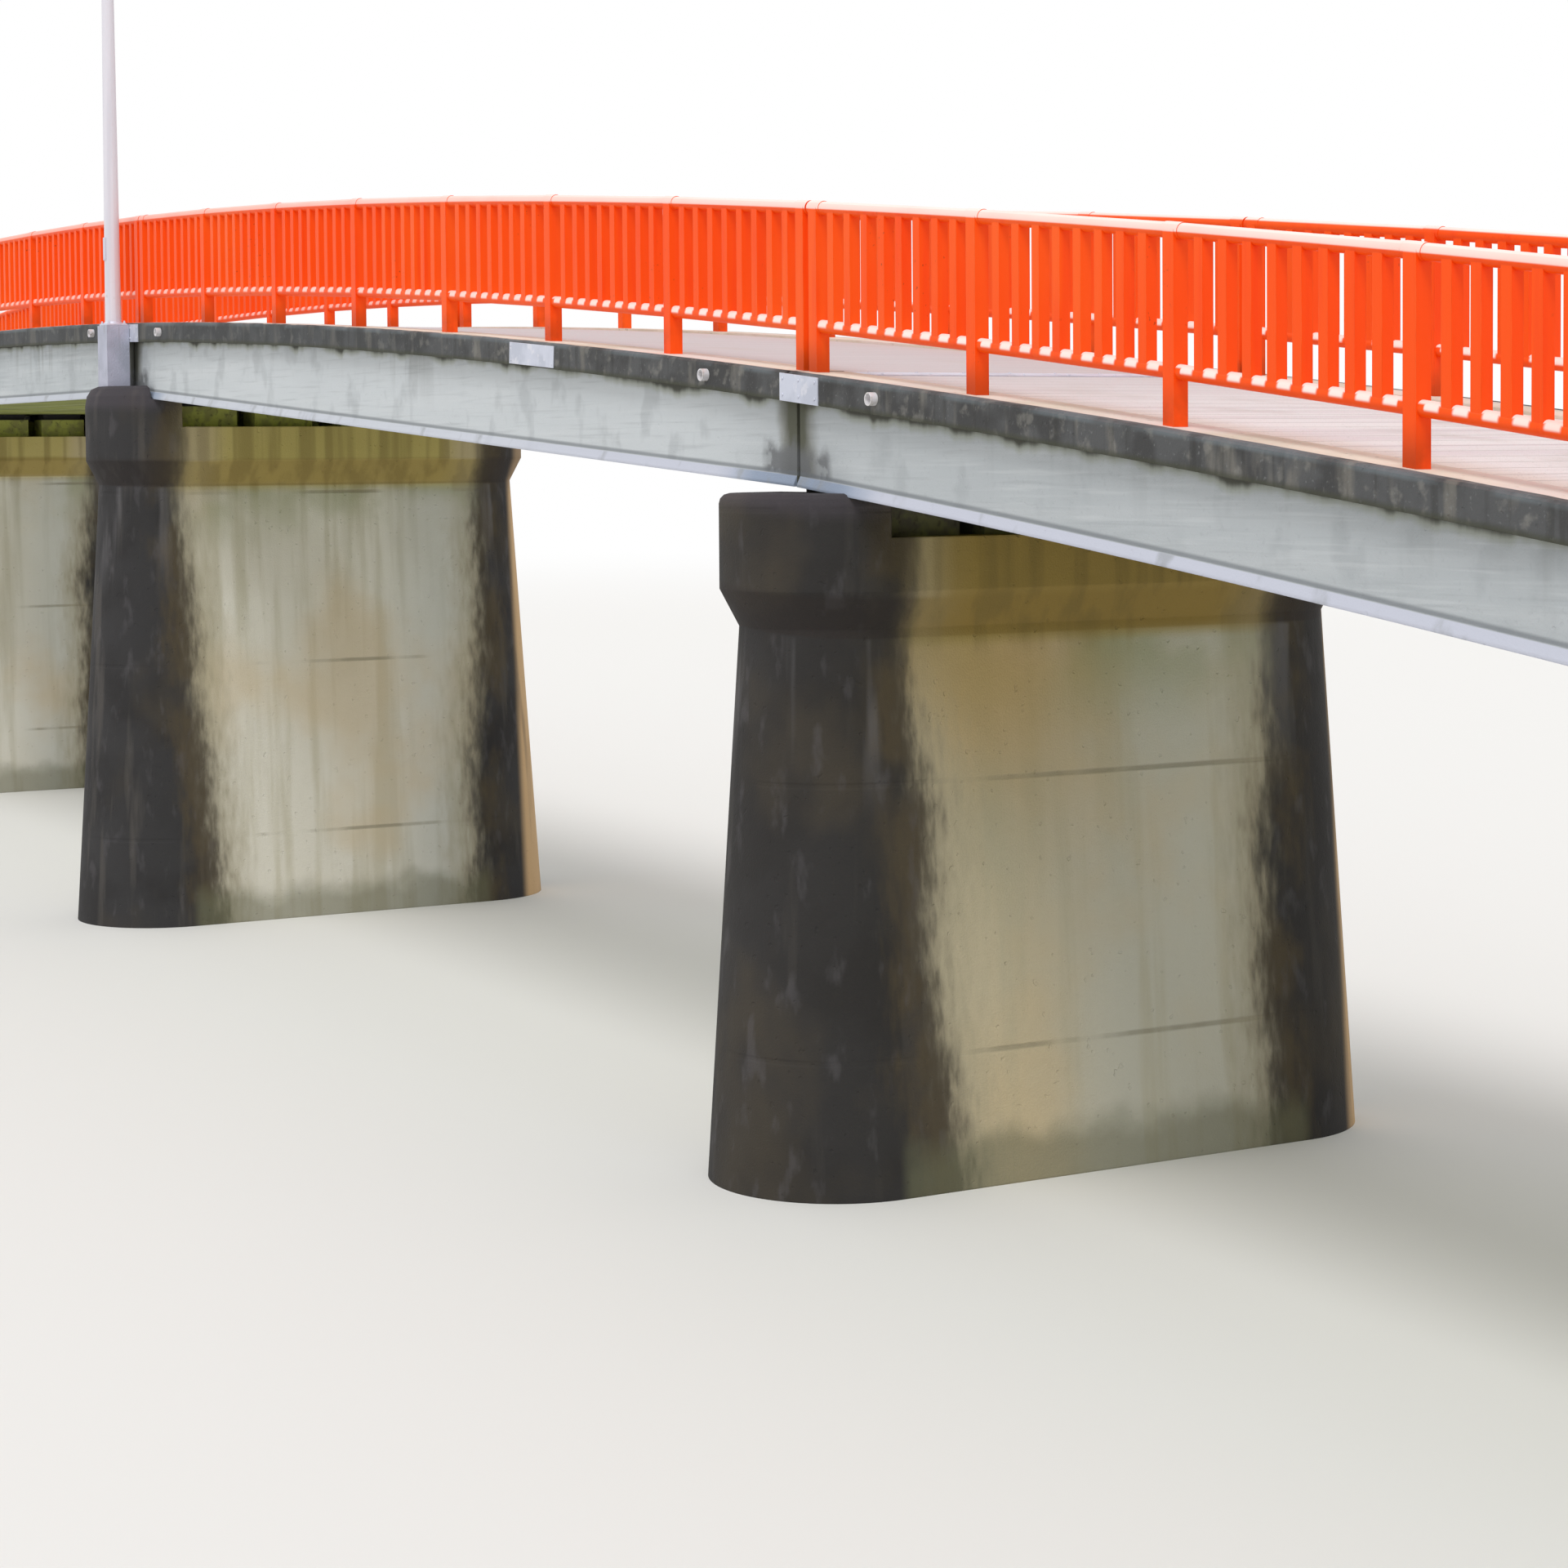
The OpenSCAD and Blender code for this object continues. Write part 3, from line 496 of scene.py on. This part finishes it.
def railing_paint():
    """Gloss vermilion, with a painted highlight almost white along the tops of the rails, and darker brown
    by the feet.
    """
    f = Finish("railing_paint", (255, 84, 8), roughness=0.45)
    f.shader.inputs["Specular IOR Level"].default_value = 0.18
    above = f.calc("MULTIPLY", f.below_deck(), -1.0)
    f.layer((255, 100, 22), f.rise(f.noise(0.8, detail=3), 0.42, 0.62, end=0.6))
    f.layer((250, 70, 6), f.rise(f.streaks(20, 1.2, detail=3), 0.52, 0.70, end=0.5))
    # Darker brown toward the feet, in patches
    f.layer((176, 62, 10), f.both(f.rise(above, 0.13, 0.0), f.rise(f.noise(6), 0.36, 0.58), 0.7))
    rust = f.both(f.rise(f.noise(70, detail=3), 0.66, 0.74), f.rise(f.noise(1.7, shift=3.0), 0.54, 0.66))
    f.layer((122, 52, 24), f.both(rust, 0.7))
    f.layer((255, 132, 70), f.both(f.worn_edges(radius=0.003), f.rise(f.noise(9), 0.44, 0.62), 0.45))
    # Handrail: painted highlight on its outer side and top
    outward = f.calc("MULTIPLY", f.facing_y, f.calc("SIGN", f.y))
    lit = f.calc("ADD", f.facing_z, f.calc("MULTIPLY", outward, 0.6))
    handrail_highlight = f.both(f.rise(above, HANDRAIL_LIFT - 0.006, HANDRAIL_LIFT), f.rise(lit, 0.30, 0.55), 0.85)
    # Lower rail: painted highlight between the balusters, where nothing shades it
    off_rail = f.calc("ABSOLUTE", f.calc("SUBTRACT", above, LOWER_RAIL_LIFT))
    on_rail = f.rise(off_rail, RAIL_RADIUS + 0.002, RAIL_RADIUS)
    lower_rail_highlight = f.both(on_rail, f.rise(f.facing_z, -0.30, 0.15), f.between_balusters())
    # Painted highlights on the rails and on every upward face, near white, stronger toward the ends of the
    # bridge
    painted_highlight = f.calc("MAXIMUM", f.calc("MAXIMUM", lower_rail_highlight, handrail_highlight), f.rise(f.facing_z, 0.45, 0.75))
    open_ends = f.rise(f.calc("ABSOLUTE", f.x), 2.0, 12.0, start=0.55, end=0.97)
    f.layer((255, 234, 226), f.both(painted_highlight, open_ends, f.rise(f.noise(3.0), 0.20, 0.55, start=0.88)))
    brush = f.noise(45, stretch=(1, 1, 0.15), detail=3)
    return f.done(brush, depth=0.0006, edge_radius=0.0016)


def joint_steel():
    """Galvanised plate, dull and faintly lavender."""
    f = Finish("joint_steel", (206, 210, 224), roughness=0.5, metallic=0.25)
    f.layer((184, 189, 203), f.rise(f.noise(9, detail=3), 0.44, 0.62, end=0.7))
    f.layer((226, 226, 234), f.rise(f.noise(26, detail=2, shift=2.0), 0.56, 0.70, end=0.6))
    f.layer((140, 116, 96), f.rise(f.noise(5, stretch=(1, 1, 0.5), shift=5.0), 0.66, 0.80, end=0.6))
    f.layer((238, 238, 242), f.both(f.worn_edges(radius=0.003), 0.5))
    return f.done(f.noise(80, detail=3), depth=0.0008, edge_radius=0.0012)


def outlet_pipe():
    """Weathered white plastic."""
    f = Finish("outlet_pipe", (226, 224, 228), roughness=0.5)
    f.layer((196, 192, 186), f.rise(f.noise(30, detail=3), 0.46, 0.66, end=0.7))
    f.layer((150, 142, 122), f.rise(f.noise(60, detail=2, shift=2.0), 0.60, 0.74, end=0.6))
    return f.done(f.noise(120, detail=2), depth=0.0006, edge_radius=0.0012)


def lamp_paint():
    """Satin pale grey pole on a rendered pedestal, with a milky glass."""
    f = Finish("lamp_paint", (222, 219, 227), roughness=0.42)
    foot = deck_height(INNER_JOINTS[-2]) - PEDESTAL_DROP
    glass_low = foot + POLE_HEIGHT
    f.layer((206, 204, 214), f.rise(f.streaks(24, 1.0, detail=3), 0.48, 0.68, end=0.6))
    specks = f.rise(f.noise(26, detail=3), 0.56, 0.70)
    f.layer((150, 132, 118), f.both(f.rise(f.z, foot + 0.30, foot), specks, 0.5))
    pedestal = f.rise(f.z, foot + 0.001, foot - 0.001)
    f.layer((180, 182, 200), pedestal)
    f.layer((158, 162, 178), f.both(pedestal, f.rise(f.noise(7), 0.44, 0.64), 0.7))
    f.layer((120, 112, 108), f.both(pedestal, f.rise(f.streaks(30, 3), 0.56, 0.72), 0.5))
    glass_high = glass_low + LANTERN_HEIGHT
    glass = f.both(f.rise(f.z, glass_low - 0.001, glass_low + 0.001),
                   f.rise(f.z, glass_high + 0.001, glass_high - 0.001))
    f.layer((242, 241, 232), glass)
    grain = f.calc("ADD", f.both(pedestal, f.noise(120, detail=3), 2.0), f.both(f.noise(60), 0.3))
    return f.done(grain, depth=0.0012, edge_radius=0.003)


def bearing_rubber():
    """Black pad on a block painted light olive as green light bounced into the girders' shade, dusty at
    the nearest pier.
    """
    # Base colour: painted bounce light, lighter and greener than the block itself
    f = Finish("bearing_rubber", (176, 180, 92), roughness=0.9)
    f.layer((96, 92, 80), f.by_nearest_pier())
    f.layer((128, 126, 84), f.rise(f.noise(14, detail=3), 0.44, 0.62, end=0.6))
    f.layer((34, 33, 34), f.rise(f.over_soffit(), -PAD_HEIGHT - 0.010, -PAD_HEIGHT - 0.002))
    f.layer((60, 58, 54), f.rise(f.noise(40, detail=3, shift=2.0), 0.56, 0.70, end=0.5))
    return f.done(f.noise(70, detail=3), depth=0.0015, edge_radius=0.003)


def joint_filler():
    """Bituminous board between the spans."""
    f = Finish("joint_filler", (42, 42, 38), roughness=0.95)
    f.layer((66, 66, 52), f.rise(f.noise(9, detail=3), 0.46, 0.64, end=0.8))
    f.layer((26, 26, 26), f.rise(f.noise(40, detail=2), 0.54, 0.70, end=0.7))
    return f.done(f.noise(60, detail=3), depth=0.002, edge_radius=0.001)


FINISHES = {make.__name__: make() for make in (
    abutment_concrete, pier_concrete, bearing_rubber, girder_concrete, paving,
    coping_concrete, railing_paint, joint_steel, outlet_pipe, lamp_paint)}
FILLER = joint_filler()

for part in frame["record"]["subparts"]:
    node = frame["nodes"][part["node"]]
    node.data.materials.clear()
    node.data.materials.append(FINISHES[part["material_slot"]])


def fit_piece(name, shape, slot, material=None):
    """Makes a finished shape a piece of the bridge."""
    bmesh.ops.recalc_face_normals(shape, faces=shape.faces)
    mesh = bpy.data.meshes.new(name)
    shape.to_mesh(mesh)
    shape.free()
    mesh.materials.append(material or FINISHES[slot])
    piece = bpy.data.objects.new(name, mesh)
    bpy.context.scene.collection.objects.link(piece)
    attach(piece, "root")


UP = Vector((0, 0, 1))
STUD_TAPER = 0.8


def add_block(shape, centre, size, bevel, slope=0.0):
    """Adds a block with eased edges, tilted along the bridge by slope."""
    turn = Matrix.Rotation(-math.atan(slope), 4, "Y")
    matrix = Matrix.Translation(centre) @ turn @ Matrix.Diagonal((*size, 1.0))
    made = bmesh.ops.create_cube(shape, size=1.0, matrix=matrix)
    edges = {edge for vertex in made["verts"] for edge in vertex.link_edges}
    bmesh.ops.bevel(shape, geom=list(edges), offset=bevel, offset_type="OFFSET", segments=2,
                    profile=0.5, affect="EDGES", material=-1, clamp_overlap=True)


def add_stud(shape, place, outward, radius, height, sides=12):
    """Adds a low screw head, nut or collar that stands on a face."""
    turn = UP.rotation_difference(Vector(outward)).to_matrix().to_4x4()
    matrix = Matrix.Translation(place) @ turn @ Matrix.Translation(UP * (height / 2))
    bmesh.ops.create_cone(shape, cap_ends=True, segments=sides, radius1=radius,
                          radius2=radius * STUD_TAPER, depth=height, matrix=matrix)


def deck_slope(x):
    """Rise of the copings' top for each metre along the bridge."""
    return -x / math.sqrt(ARCH_RADIUS ** 2 - x * x)


SCREW_RADIUS = 0.0055
SCREW_HEIGHT = 0.003
COVER_SCREW_INSET = 0.020
COVER_SCREW_DROPS = (0.026, 0.080)
TREAD_SCREWS = 8
TREAD_SCREW_INSET = 0.016
TREAD_END_INSET = 0.020
HEAD_SINK = 0.0002


def joint_screws():
    """Round heads on the cover plates."""
    shape = bmesh.new()
    face = HALF_DECK + COVER_THICK
    for x in INNER_JOINTS:
        outwards = math.copysign(1.0, x)
        first = x - outwards * (COVER_LAP - COVER_SCREW_INSET)
        last = first + outwards * (COVER_LENGTH - 2 * COVER_SCREW_INSET)
        for place in (first, (first + last) / 2, last):
            for drop in COVER_SCREW_DROPS:
                for side in (-1, 1):
                    spot = (place, side * face, deck_height(place) - drop)
                    add_stud(shape, spot, (0, side, 0), SCREW_RADIUS, SCREW_HEIGHT)
        for edge in (-1, 1):
            place = x + edge * (TREAD_WIDTH / 2 - TREAD_SCREW_INSET)
            z = deck_height(place) - PAVING_DROP + COVER_THICK - HEAD_SINK
            for number in range(TREAD_SCREWS):
                y = (2 * (number + 0.5) / TREAD_SCREWS - 1) * (PAVING_HALF - TREAD_END_INSET)
                add_stud(shape, (place, y, z), UP, SCREW_RADIUS, SCREW_HEIGHT)
    fit_piece("joint_screws", shape, "joint_steel")


FILLER_CLEARANCE = 0.002
FILLER_SET_BACK = 0.020
FILLER_TOP_DROP = 0.012
FILLER_BEVEL = 0.002


def joint_fillers():
    """Dark board in each gap, narrow between the girders and wide between the copings."""
    shape = bmesh.new()
    thick = 2 * (GAP_HALF - FILLER_CLEARANCE)
    for x in JOINTS:
        low = soffit_height(x) + FILLER_SET_BACK
        seam = deck_height(x) - COPING_DEPTH
        top = deck_height(x) - PAVING_DROP - FILLER_TOP_DROP
        for face, foot, head in ((GIRDER_FACE, low, seam), (HALF_DECK, seam, top)):
            size = (thick, 2 * (face - FILLER_SET_BACK), head - foot)
            add_block(shape, (x, 0, (foot + head) / 2), size, FILLER_BEVEL)
    fit_piece("joint_fillers", shape, "bearing_rubber", FILLER)


PLATE_X = 8.517
PLATE_LENGTH = 0.400
PLATE_HEIGHT = 0.084
PLATE_THICK = 0.004
PLATE_DROP = 0.012
PLATE_BEVEL = 0.001
PLATE_SCREW_INSET = 0.014
PLATE_SCREW_RADIUS = 0.004
PLATE_SCREW_HEIGHT = 0.002


def blank_plate():
    """Bare pale plate on the near coping."""
    shape = bmesh.new()
    slope = deck_slope(PLATE_X)
    middle = deck_height(PLATE_X) - PLATE_DROP - PLATE_HEIGHT / 2
    centre = Vector((PLATE_X, -HALF_DECK - PLATE_THICK / 2, middle))
    add_block(shape, centre, (PLATE_LENGTH, PLATE_THICK, PLATE_HEIGHT), PLATE_BEVEL, slope)
    for along in (-1, 1):
        for up in (-1, 1):
            x = along * (PLATE_LENGTH / 2 - PLATE_SCREW_INSET)
            z = up * (PLATE_HEIGHT / 2 - PLATE_SCREW_INSET) + slope * x
            spot = centre + Vector((x, -PLATE_THICK / 2, z))
            add_stud(shape, spot, (0, -1, 0), PLATE_SCREW_RADIUS, PLATE_SCREW_HEIGHT)
    fit_piece("blank_plate", shape, "joint_steel")


FLANGE_SIZE = (0.140, 0.108, 0.008)
FLANGE_BEVEL = 0.0015
NUT_X = 0.056
NUT_Y = 0.042
NUT_RADIUS = 0.0085
NUT_HEIGHT = 0.008
BOLT_RADIUS = 0.0045
COLLAR_SIDES = 48
FOOT_COLLAR_LIP = 0.009
FOOT_COLLAR_HEIGHT = 0.014
DOOR_LIFT = 0.40
DOOR_SIZE = (0.034, 0.010, 0.120)
DOOR_SINK = 0.001
DOOR_BEVEL = 0.003
DOOR_SCREW_REACH = 0.048
DOOR_SCREW_RADIUS = 0.003
DOOR_SCREW_HEIGHT = 0.0015
COLLAR_HEIGHT = 0.016
NECK_COLLAR_DROP = 0.050
NECK_COLLAR_LIP = 0.006
GLASS_COLLAR_DROP = 0.014
GLASS_COLLAR_LIP = 0.004
GLAZING_BARS = 8
BAR_RADIUS = 0.003
BAR_SIDES = 8
BAR_STAND_OFF = 0.001


def lamp_fittings(side):
    """Foot flange with its nuts, access door, collars and the bars round the glass."""
    low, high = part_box("lamp_" + side)
    axis = Vector(((low.x + high.x) / 2, (low.y + high.y) / 2, 0))
    foot = deck_height(axis.x) - PEDESTAL_DROP
    flange_top = foot + FLANGE_SIZE[2]
    glass = foot + POLE_HEIGHT
    shape = bmesh.new()
    add_block(shape, axis + UP * (foot + FLANGE_SIZE[2] / 2), FLANGE_SIZE, FLANGE_BEVEL)
    for x in (-NUT_X, NUT_X):
        for y in (-NUT_Y, NUT_Y):
            spot = axis + Vector((x, y, flange_top))
            add_stud(shape, spot, UP, NUT_RADIUS, NUT_HEIGHT, sides=6)
            add_stud(shape, spot + UP * NUT_HEIGHT, UP, BOLT_RADIUS, NUT_HEIGHT)
    for place, radius, height in (
            (flange_top, POLE_FOOT + FOOT_COLLAR_LIP, FOOT_COLLAR_HEIGHT),
            (glass - NECK_COLLAR_DROP, POLE_TOP + NECK_COLLAR_LIP, COLLAR_HEIGHT),
            (glass - GLASS_COLLAR_DROP, LANTERN_FOOT + GLASS_COLLAR_LIP, COLLAR_HEIGHT)):
        add_stud(shape, axis + UP * place, UP, radius, height, sides=COLLAR_SIDES)
    pole_radius = POLE_FOOT + (POLE_TOP - POLE_FOOT) * DOOR_LIFT / POLE_HEIGHT
    door = axis + Vector((0, DOOR_SINK - pole_radius, foot + DOOR_LIFT))
    add_block(shape, door, DOOR_SIZE, DOOR_BEVEL)
    for reach in (-DOOR_SCREW_REACH, DOOR_SCREW_REACH):
        spot = door + Vector((0, -DOOR_SIZE[1] / 2, reach))
        add_stud(shape, spot, (0, -1, 0), DOOR_SCREW_RADIUS, DOOR_SCREW_HEIGHT, sides=8)
    for turn in range(GLAZING_BARS):
        angle = turn * math.tau / GLAZING_BARS
        out = Vector((math.cos(angle), math.sin(angle), 0))
        bar_foot = axis + out * (LANTERN_FOOT + BAR_STAND_OFF) + UP * glass
        bar_head = axis + out * (LANTERN_TOP + BAR_STAND_OFF) + UP * (glass + LANTERN_HEIGHT)
        run = bar_head - bar_foot
        lean = UP.rotation_difference(run).to_matrix().to_4x4()
        bmesh.ops.create_cone(shape, cap_ends=True, segments=BAR_SIDES, radius1=BAR_RADIUS,
                              radius2=BAR_RADIUS, depth=run.length,
                              matrix=Matrix.Translation((bar_foot + bar_head) / 2) @ lean)
    fit_piece("lamp_fittings_" + side, shape, "joint_steel")


joint_screws()
joint_fillers()
blank_plate()
lamp_fittings("left")
lamp_fittings("right")


def background_rays(tree):
    """1 on the rays that show the background, straight, in metal or through glass, else 0."""
    rays = tree.nodes.new("ShaderNodeLightPath")
    shown = rays.outputs["Is Camera Ray"]
    for kind in ("Is Glossy Ray", "Is Transmission Ray"):
        either = tree.nodes.new("ShaderNodeMath")
        either.operation = "MAXIMUM"
        tree.links.new(shown, either.inputs[0])
        tree.links.new(rays.outputs[kind], either.inputs[1])
        shown = either.outputs[0]
    return shown


FLOOR_HALF = 400.0
FLOOR_COLOUR = (0.80, 0.79, 0.77, 1.0)
FLOOR_ROUGHNESS = 0.9
FLOOR_PLAIN_TO = 22.0
FLOOR_WHITE_FROM = 60.0


def white_beyond(material):
    """A plain floor that turns to the white of the background with distance."""
    tree = material.node_tree
    shader = tree.nodes["Principled BSDF"]
    shader.inputs["Base Color"].default_value = FLOOR_COLOUR
    shader.inputs["Roughness"].default_value = FLOOR_ROUGHNESS
    place = tree.nodes.new("ShaderNodeTexCoord")
    length = tree.nodes.new("ShaderNodeVectorMath")
    length.operation = "LENGTH"
    fade = tree.nodes.new("ShaderNodeMapRange")
    fade.interpolation_type = "SMOOTHSTEP"
    fade.inputs["From Min"].default_value = FLOOR_PLAIN_TO
    fade.inputs["From Max"].default_value = FLOOR_WHITE_FROM
    amount = tree.nodes.new("ShaderNodeMath")
    amount.operation = "MULTIPLY"
    white = tree.nodes.new("ShaderNodeEmission")
    mix = tree.nodes.new("ShaderNodeMixShader")
    link = tree.links.new
    link(place.outputs["Object"], length.inputs[0])
    link(length.outputs["Value"], fade.inputs["Value"])
    link(fade.outputs[0], amount.inputs[0])
    link(background_rays(tree), amount.inputs[1])
    link(amount.outputs[0], mix.inputs[0])
    link(shader.outputs[0], mix.inputs[1])
    link(white.outputs[0], mix.inputs[2])
    link(mix.outputs[0], tree.nodes["Material Output"].inputs["Surface"])


def lay_floor():
    """Level floor at the foot of the piers, as a stage for the shadow."""
    mesh = bpy.data.meshes.new("floor")
    shape = bmesh.new()
    bmesh.ops.create_grid(shape, x_segments=1, y_segments=1, size=FLOOR_HALF)
    shape.to_mesh(mesh)
    shape.free()
    material = bpy.data.materials.new("floor")
    material.use_nodes = True
    white_beyond(material)
    mesh.materials.append(material)
    floor = bpy.data.objects.new("floor", mesh)
    bpy.context.scene.collection.objects.link(floor)


SKY_LEVEL = 0.78
SUN_LEVEL = 1.35
SUN_SOFTNESS = math.radians(22)
SUN_FROM = Vector((0.42, -0.42, 0.90))


def light_studio():
    """Even white light from all round, a soft key from above and a white background."""
    world = bpy.data.worlds.new("studio")
    world.use_nodes = True
    tree = world.node_tree
    background = tree.nodes["Background"]
    level = tree.nodes.new("ShaderNodeMapRange")
    level.inputs["To Min"].default_value = SKY_LEVEL
    level.inputs["To Max"].default_value = 1.0
    tree.links.new(background_rays(tree), level.inputs["Value"])
    tree.links.new(level.outputs[0], background.inputs["Strength"])
    background.inputs["Color"].default_value = (1.0, 1.0, 1.0, 1.0)
    bpy.context.scene.world = world
    key = bpy.data.lights.new("key", "SUN")
    key.energy = SUN_LEVEL
    key.angle = SUN_SOFTNESS
    lamp = bpy.data.objects.new("key", key)
    lamp.rotation_euler = SUN_FROM.to_track_quat("Z", "Y").to_euler()
    bpy.context.scene.collection.objects.link(lamp)


# Place and aim of the photograph, found from the posts, rails, copings and girders
EYE = Vector((19.51, -6.165, 2.44))
HEADING = Vector((-0.8688, 0.4951, 0.0))
PITCH = -0.0446
ROLL = 0.0079
FOCAL_PIXELS = 3820.8
FRAME_PIXELS = 1920
CENTRE_ROW = 724
SENSOR = 36.0
FARTHEST_SEEN = 1000.0


def set_camera():
    """Camera that looks from where the photograph was taken."""
    right = HEADING.cross(UP)
    forward = math.cos(PITCH) * HEADING + math.sin(PITCH) * UP
    upright = math.cos(PITCH) * UP - math.sin(PITCH) * HEADING
    camera_x = math.cos(ROLL) * right - math.sin(ROLL) * upright
    camera_y = math.sin(ROLL) * right + math.cos(ROLL) * upright
    camera = bpy.data.cameras.new("camera")
    camera.sensor_width = SENSOR
    camera.lens = SENSOR * FOCAL_PIXELS / FRAME_PIXELS
    camera.shift_y = (CENTRE_ROW - FRAME_PIXELS / 2) / FRAME_PIXELS
    camera.clip_end = FARTHEST_SEEN
    holder = bpy.data.objects.new("camera", camera)
    turn = Matrix((camera_x, camera_y, -forward)).transposed().to_4x4()
    holder.matrix_world = Matrix.Translation(EYE) @ turn
    bpy.context.scene.collection.objects.link(holder)
    bpy.context.scene.camera = holder


lay_floor()
light_studio()
set_camera()
bpy.context.scene.view_settings.view_transform = "Standard"
